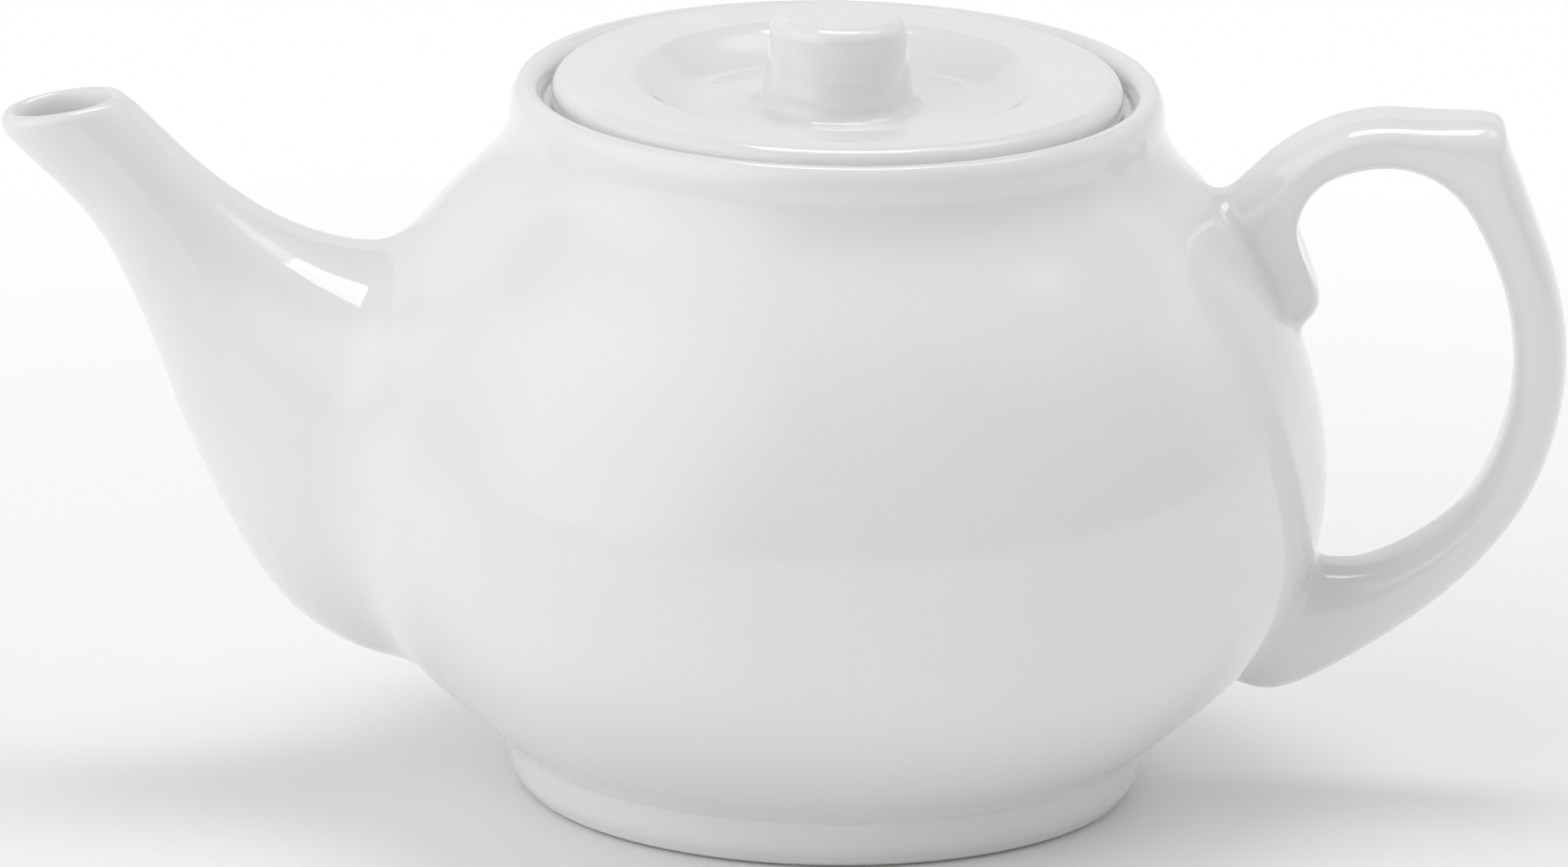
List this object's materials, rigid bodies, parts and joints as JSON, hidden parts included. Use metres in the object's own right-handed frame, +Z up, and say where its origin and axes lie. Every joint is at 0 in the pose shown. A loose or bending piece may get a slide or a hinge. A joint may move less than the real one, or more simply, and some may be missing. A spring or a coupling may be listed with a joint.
{
  "type": "teapot",
  "caption": "Round-bellied glazed porcelain teapot with a curved spout, an angular strap handle, a foot ring and a lift-off dished lid with a blunt knob.",
  "frame": {"origin": "centre of the foot ring's contact face, on the axis of the belly", "axes": "+Z up, +X from the belly's axis towards the handle, the spout points along -X"},
  "size_m": [0.2335, 0.148, 0.1184],
  "materials": {
    "glaze": "gloss"
  },
  "bodies": {
    "pot": {"body_shell": "glaze", "collar": "glaze", "foot_ring": "glaze", "spout": "glaze", "handle": "glaze"},
    "lid": {"lid_cover": "glaze", "lid_flange": "glaze", "lid_lug": "glaze", "lid_knob": "glaze"}
  },
  "joints": [
    {"name": "lid_lift", "type": "slide", "parent": "pot", "child": "lid", "axis": [0, 0, 1], "range_m": [0, 0.08]}
  ]
}
